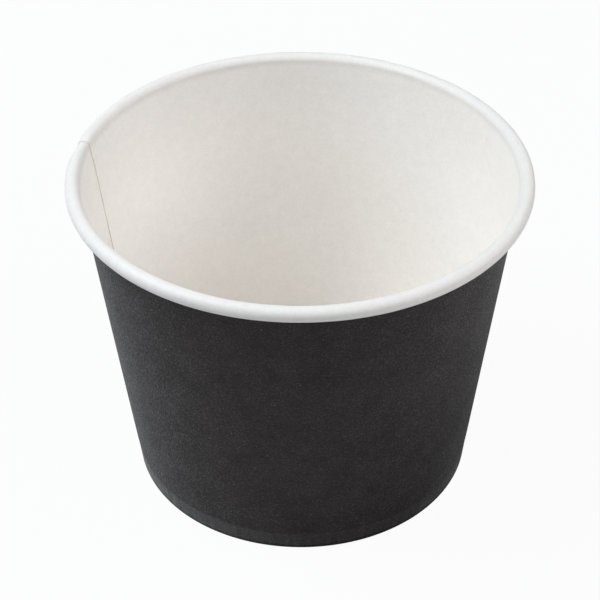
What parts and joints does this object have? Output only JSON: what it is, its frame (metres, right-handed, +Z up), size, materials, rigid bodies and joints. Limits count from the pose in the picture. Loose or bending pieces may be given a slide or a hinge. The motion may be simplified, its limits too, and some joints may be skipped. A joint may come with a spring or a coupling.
{
  "type": "paper tub",
  "caption": "Round tapered paper tub for ice cream or hot food, black outside and white inside, with a rolled rim, a lapped side seam and a base recessed in a pressed hem.",
  "frame": {"origin": "centre of the standing ring, on the surface that the tub stands on", "axes": "+Z up along the tub's axis, +Y to the back, +X to the right as the picture shows it, with the seam on the left"},
  "size_m": [0.098, 0.098, 0.0736],
  "materials": {
    "black_printed_board": "matt black print outside, white coated board inside and on the rolled rim",
    "white_board": "white coated board, satin"
  },
  "bodies": {
    "root": {"side_wall": "black_printed_board", "base_disc": "white_board"}
  },
  "joints": []
}
